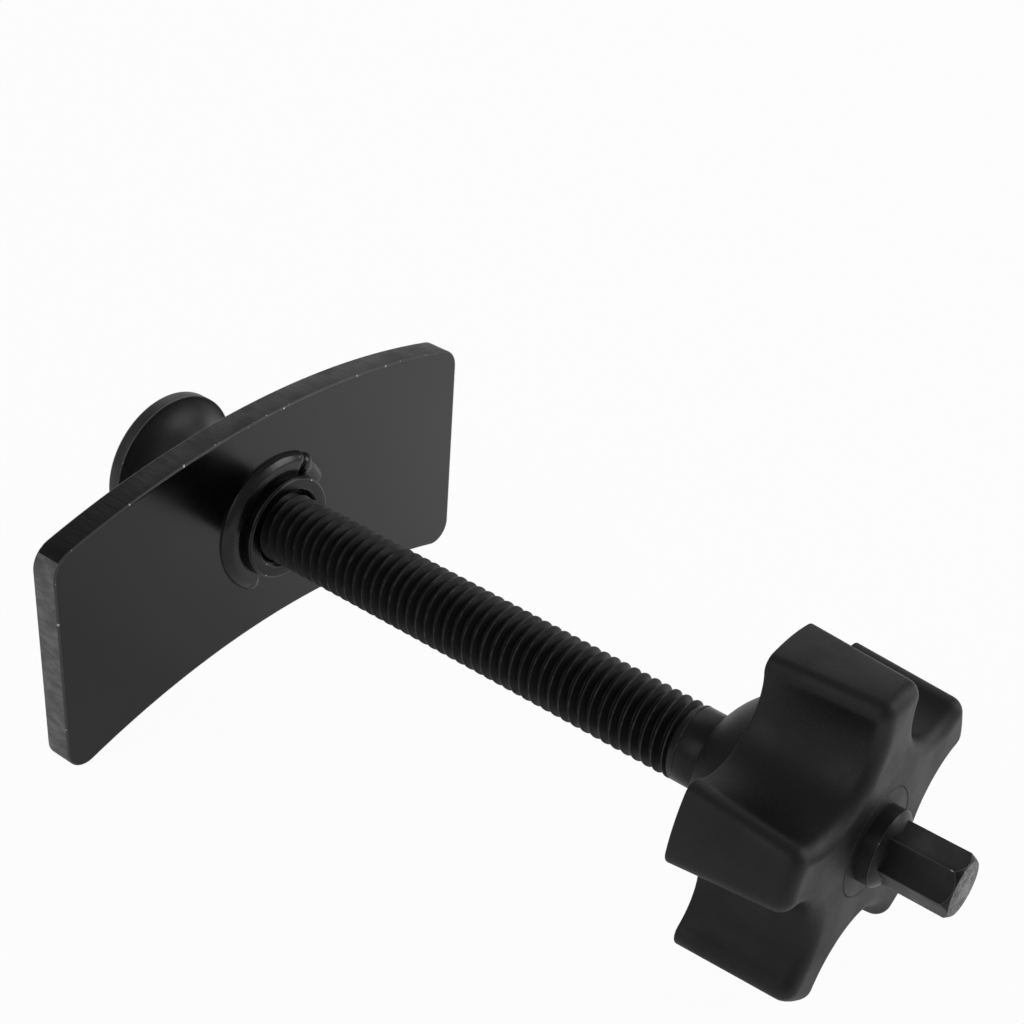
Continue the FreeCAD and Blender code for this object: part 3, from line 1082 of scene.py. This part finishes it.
@dataclass
class StarKnob:
    """Moulded knob with five soft lobes, a domed hub and a nylon core."""

    lobes: int = 5
    outer: float = 27.1 * MM
    flute_at: float = 26.7 * MM
    flute: float = 9.4 * MM
    flare: float = 1.5 * MM
    lobe_corner: float = 2.3 * MM
    front_corner: float = 2.5 * MM
    turn: float = 16.7
    set_back: float = 0.7 * MM
    draft: float = 0.5 * MM
    front_round: float = 2.35 * MM
    front_segments: int = 8
    back_round: float = 0.4 * MM
    back_segments: int = 5
    face_inset: float = 0.1 * MM
    nose_height: float = 8.25 * MM
    dome_depth: float = 6.6 * MM
    dome_root: float = 15.1 * MM
    core_radius: float = 8.9 * MM
    core_length: float = 15.0 * MM
    core_groove: float = 0.18 * MM
    seat_gap: float = 0.02 * MM
    tip_steps: int = 12
    corner_steps: int = 14
    flute_steps: int = 36
    dome_steps: int = 24
    shade_angle: float = 30

    def outline(self, along: float, outer: float, flute: float, corner: float) -> Piece:
        """Draw the five lobes at one place along the screw's axis.

        Args:
            along: place of the outline.
            outer: radius of the lobes' tips.
            flute: radius of the hollows between the lobes.
            corner: radius of the lobes' corners.

        Returns:
            The outline as a closed wire.
        """
        reach = outer - corner
        span = flute + corner
        half = 180 / self.lobes
        cosine = (reach ** 2 + self.flute_at ** 2 - span ** 2) / (2 * reach * self.flute_at)
        to_corner = math.degrees(math.acos(cosine))
        tip = half - to_corner
        cosine = (reach ** 2 + span ** 2 - self.flute_at ** 2) / (2 * reach * span)
        at_corner = math.degrees(math.acos(cosine))
        at_flute = 180 - to_corner - at_corner
        first = math.radians(self.turn - tip)
        pen = Pen("star_knob_body", Sheet.SECTION, outer * math.cos(first), outer * math.sin(first))
        for lobe in range(self.lobes):
            hollow = self.turn + half + 2 * half * lobe
            ways = [math.radians(hollow + side * to_corner) for side in (-1, 0, 1)]
            here, middle, there = ((math.cos(way), math.sin(way)) for way in ways)
            pen.arc(0, 0, 2 * tip, self.tip_steps)
            pen.arc(reach * here[0], reach * here[1], 180 - at_corner, self.corner_steps)
            pen.arc(self.flute_at * middle[0], self.flute_at * middle[1], -2 * at_flute, self.flute_steps)
            pen.arc(reach * there[0], reach * there[1], 180 - at_corner, self.corner_steps)
        bpy.ops.mesh.select_all(action="SELECT")
        bpy.ops.mesh.remove_doubles(threshold=CLOSE)
        bpy.ops.transform.translate(value=(0, along, 0))
        bpy.ops.object.mode_set(mode="OBJECT")
        return pen.piece

    def star(self, front: float, back: float) -> Piece:
        """Bridge the wide back outline to the narrower front one, and round both rims.

        Args:
            front: place of the front face along the screw's axis.
            back: place of the back face.

        Returns:
            The star without its dome.
        """
        star = self.outline(front, self.outer - self.draft, self.flute + self.flare, self.front_corner)
        rear = self.outline(back, self.outer, self.flute, self.lobe_corner)
        take(star)
        rear.select_set(True)
        bpy.ops.object.join()
        pick(star, Part.EDGE, lambda spot, way: True)
        bpy.ops.mesh.bridge_edge_loops()
        for level in (front, back):
            pick(star, Part.EDGE, at_level(level))
            bpy.ops.mesh.edge_face_add()
        seal(star)
        for level, width, segments in ((front, self.front_round, self.front_segments),
                                       (back, self.back_round, self.back_segments)):
            pick(star, Part.EDGE, at_level(level))
            bpy.ops.mesh.bevel(offset=width, segments=segments, profile=0.5)
            pick(star, Part.FACE, at_level(level))
            bpy.ops.mesh.inset(thickness=self.face_inset)
        bpy.ops.object.mode_set(mode="OBJECT")
        return star

    def dome(self, back: float, nose: float) -> Piece:
        """Turn the domed hub behind the lobes.

        Args:
            back: place of the star's back face along the screw's axis.
            nose: place of the dome's flat top.

        Returns:
            The dome, which reaches into the star.
        """
        radius = math.hypot(self.dome_root, self.dome_depth)
        centre = back - self.dome_depth
        foot = math.degrees(math.asin(self.dome_depth / radius))
        top = math.degrees(math.asin((nose - centre) / radius))
        pen = Pen("knob_dome", Sheet.PROFILE, 0, centre)
        pen.line((self.dome_root, centre), (self.dome_root, back))
        pen.arc(0, centre, top - foot, self.dome_steps)
        pen.line((0, nose))
        return pen.turned(BROAD_STEPS)

    def seat(self, front: float, nose: float) -> Piece:
        """Turn the tool that bores the knob for its core and the shank.

        Args:
            front: place of the front face along the screw's axis.
            nose: place of the dome's flat top.

        Returns:
            The tool, which stands out past both faces.
        """
        away = nose - front
        mouth = self.core_radius + self.core_groove
        floor = front + self.core_length
        bore = ScrewRod.shank_radius + self.seat_gap
        pen = Pen("knob_seat", Sheet.PROFILE, 0, front - away)
        pen.line((mouth, front - away), (mouth, front), (self.core_radius, front + self.core_groove),
                 (self.core_radius, floor), (bore, floor), (bore, nose + away), (0, nose + away),
                 (0, front - away))
        return pen.turned(ROUND_STEPS)

    def core(self, front: float) -> Piece:
        """Turn the core sleeve, with the groove that shows round it.

        Args:
            front: place of the front face along the screw's axis.

        Returns:
            The core.
        """
        bore = ScrewRod.seat_radius
        floor = front + self.core_length
        pen = Pen("knob_core", Sheet.PROFILE, bore, front)
        pen.line((self.core_radius - self.core_groove, front), (self.core_radius, front + self.core_groove),
                 (self.core_radius, floor), (bore, floor), (bore, front))
        core = pen.turned(ROUND_STEPS)
        smooth(core)
        return core

    def build(self) -> None:
        """Mould the knob round its core and dress both."""
        low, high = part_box("star_knob")
        front, nose = low.y + self.set_back, high.y
        back = nose - self.nose_height
        knob = self.star(front, back)
        combine(knob, self.dome(back, nose), "UNION")
        combine(knob, self.seat(front, nose), "DIFFERENCE")
        smooth(knob, self.shade_angle)
        dress(knob, Body.SCREW, "knob_plastic", "star_knob", KNOB_NYLON)
        dress(self.core(front), Body.SCREW, "knob_plastic", "knob_hub", KNOB_NYLON)


@dataclass
class PressureFoot:
    """Rimmed foot with a flared neck, its washer and its retaining ring."""

    rim_thick: float = 2.6 * MM
    rim_chamfer: float = 0.3 * MM
    neck_radius: float = 7.3 * MM
    neck_length: float = 2.4 * MM
    lip: float = 0.5 * MM
    hollow: float = 0.16
    hollow_steps: int = 24
    pocket_radius: float = 6.5 * MM
    pocket_depth: float = 2.7 * MM
    bore_radius: float = 4.05 * MM
    foot_rim: float = 0.16 * MM
    washer_bore: float = 4.05 * MM
    washer_rim: float = 0.18 * MM
    ring_bore: float = 3.5 * MM
    ring_rim: float = 0.15 * MM
    ring_gap: float = 40.0
    ring_gap_at: float = 90.0
    ring_steps: int = 72

    def foot(self) -> Piece:
        """Turn the foot with its flared neck.

        Returns:
            The foot.
        """
        low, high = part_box("pressure_foot")
        rim = high.x
        rim_back = high.y - self.rim_thick
        neck_end = low.y + self.neck_length
        floor = high.y - self.pocket_depth
        start = Vector((self.neck_radius, neck_end))
        end = Vector((rim - self.lip, rim_back))
        chord = end - start
        sag = chord.length * self.hollow
        bend = (chord.length / 2) ** 2 / (2 * sag) + sag / 2
        side = Vector((chord.y, -chord.x)).normalized()
        centre = (start + end) / 2 + side * (bend - sag)
        sweep = 2 * math.degrees(math.asin(chord.length / 2 / bend))
        pen = Pen("pressure_foot_body", Sheet.PROFILE, self.bore_radius, low.y)
        pen.line((self.neck_radius, low.y), (self.neck_radius, neck_end))
        pen.arc(centre.x, centre.y, -sweep, self.hollow_steps)
        pen.line((rim, rim_back), (rim, high.y - self.rim_chamfer), (rim - self.rim_chamfer, high.y),
                 (self.pocket_radius, high.y), (self.pocket_radius, floor), (self.bore_radius, floor),
                 (self.bore_radius, low.y))
        return round_wear_and_highlight_edges(pen.turned(BROAD_STEPS), self.foot_rim, ROUND_RIM)

    def washer(self) -> Piece:
        """Turn the thrust washer.

        Returns:
            The washer.
        """
        low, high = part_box("thrust_washer")
        bore = self.washer_bore
        pen = Pen("thrust_washer_body", Sheet.PROFILE, bore, low.y)
        pen.line((high.x, low.y), (high.x, high.y), (bore, high.y), (bore, low.y))
        return round_wear_and_highlight_edges(pen.turned(SMALL_STEPS), self.washer_rim, ROUND_RIM)

    def ring(self) -> Piece:
        """Coil the open retaining ring.

        Returns:
            The ring.
        """
        low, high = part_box("foot_retaining_ring")
        pen = Pen("retaining_ring_body", Sheet.PROFILE, self.ring_bore, low.y)
        pen.line((high.x, low.y), (high.x, high.y), (self.ring_bore, high.y))
        start = self.ring_gap_at + self.ring_gap / 2
        ring = pen.swept(start, start + 360 - self.ring_gap, self.ring_steps)
        soften(ring, self.ring_rim, ROUND_RIM)
        smooth(ring)
        return ring

    def build(self) -> None:
        """Make the foot's three pieces and dress them."""
        dress(self.foot(), Body.FOOT, "foot_coating", "pressure_foot", FOOT_ENAMEL_PAINTED_LIGHT, FOOT_RIM_AND_HIGHLIGHT)
        dress(self.washer(), Body.WASHER, "screw_oxide", "thrust_washer", TURNED_OXIDE, WORN_OXIDE_AND_HIGHLIGHT)
        dress(self.ring(), Body.SCREW, "spring_steel", "foot_retaining_ring", SPRING_STEEL)


@dataclass(frozen=True)
class Lamp:
    """A soft square lamp that faces the object, with its place and side in metres."""

    name: str
    place: tuple[float, float, float]
    size: float
    watts: float

    def hang(self) -> None:
        """Hang the lamp."""
        clear_bench()
        facing = (-Vector(self.place)).to_track_quat("-Z", "Y").to_euler()
        bpy.ops.object.light_add(type="AREA", location=self.place, rotation=facing)
        lamp = bpy.context.object
        lamp.name = self.name
        lamp.data.size = self.size
        lamp.data.energy = self.watts


@dataclass
class Studio:
    """Pale floor, soft lamps, a plain world and the camera."""

    camera_place: tuple[float, float, float] = (-202.184 * MM, -197.847 * MM, 190.402 * MM)
    camera_turn: tuple[float, float, float] = (56.3254, -3.6516, -51.6248)
    lens: float = 68.261
    shift: tuple[float, float] = (-0.00212, 0.00499)
    nearest: float = 10 * MM
    floor_size: float = 8.0
    floor_white: str = "#f4f4f4"
    world_colour: str = "#ffffff"
    world_level: float = 0.22
    floor_seen: float = 0.965
    glow_from: float = -20 * MM
    glow_to: float = 80 * MM
    dim_glow: float = 0.36
    full_glow: float = 0.86
    lamps: tuple[Lamp, ...] = (
        Lamp("back_softbox", (0.95, 0.6, 0.75), size=1.2, watts=2.6),
        Lamp("front_softbox", (0.9, -0.9, 0.6), size=0.7, watts=4.5),
        Lamp("side_softbox", (-0.9, 0.1, 0.6), size=0.7, watts=1.5))

    def floor(self) -> None:
        """Lay the floor under the object: white to the camera, and a soft sweep in reflections."""
        clear_bench()
        bpy.ops.mesh.primitive_plane_add(size=self.floor_size, location=(0, 0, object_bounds()[0].z))
        floor = bpy.context.object
        floor.name = "studio_floor"
        material = bpy.data.materials.new("studio_floor_paper")
        tree = empty_tree(material)
        path = add_node(tree, "ShaderNodeLightPath")
        seen = add_node(tree, "ShaderNodeMath", {"operation": "MULTIPLY", 1: self.floor_seen},
                        {0: path.outputs["Is Camera Ray"]})
        across = add_node(tree, "ShaderNodeSeparateXYZ", links={
            "Vector": add_node(tree, "ShaderNodeTexCoord").outputs["Object"]})
        glow = add_node(tree, "ShaderNodeMapRange", {
            "From Min": self.glow_from, "From Max": self.glow_to, "To Min": self.dim_glow,
            "To Max": self.full_glow}, {"Value": across.outputs["X"]})
        mirrored = add_node(tree, "ShaderNodeMath", {"operation": "MULTIPLY_ADD"}, {
            0: path.outputs["Is Glossy Ray"], 1: glow.outputs["Result"], 2: seen.outputs["Value"]})
        paper = add_node(tree, "ShaderNodeBsdfDiffuse", {"Color": linear(self.floor_white)})
        white = add_node(tree, "ShaderNodeEmission", {"Strength": 1.0})
        mixed = add_node(tree, "ShaderNodeMixShader", links={
            0: mirrored.outputs["Value"], 1: paper.outputs["BSDF"], 2: white.outputs["Emission"]})
        add_node(tree, "ShaderNodeOutputMaterial", links={"Surface": mixed.outputs["Shader"]})
        floor.data.materials.append(material)
        floor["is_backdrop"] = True

    def world(self) -> None:
        """Set a plain world: white to the camera, dimmer to everything else."""
        world = bpy.data.worlds.new("studio_world")
        bpy.context.scene.world = world
        tree = empty_tree(world)
        path = add_node(tree, "ShaderNodeLightPath")
        colour = linear(self.world_colour)
        dim = add_node(tree, "ShaderNodeBackground", {"Color": colour, "Strength": self.world_level})
        white = add_node(tree, "ShaderNodeBackground", {"Color": colour, "Strength": 1.0})
        mixed = add_node(tree, "ShaderNodeMixShader", links={
            0: path.outputs["Is Camera Ray"], 1: dim.outputs["Background"], 2: white.outputs["Background"]})
        add_node(tree, "ShaderNodeOutputWorld", links={"Surface": mixed.outputs["Shader"]})

    def camera(self) -> None:
        """Place the camera at the photograph's angle."""
        clear_bench()
        turn = [math.radians(angle) for angle in self.camera_turn]
        bpy.ops.object.camera_add(location=self.camera_place, rotation=turn)
        camera = bpy.context.object
        camera.data.lens = self.lens
        camera.data.shift_x, camera.data.shift_y = self.shift
        camera.data.clip_start = self.nearest
        bpy.context.scene.camera = camera

    def build(self) -> None:
        """Set the whole studio up."""
        self.floor()
        self.world()
        for lamp in self.lamps:
            lamp.hang()
        self.camera()
        bpy.context.scene.view_settings.view_transform = "Standard"


def main() -> None:
    """Build every sub-assembly in order."""
    logging.basicConfig(level=logging.INFO, format="%(message)s")
    for maker in (SpreaderPlate(), ThreadedBush(), Weld(), ScrewRod(), StarKnob(), PressureFoot(), Studio()):
        maker.build()
        log.info("%s is done", type(maker).__name__)
    clear_bench()


if __name__ == "__main__":
    main()
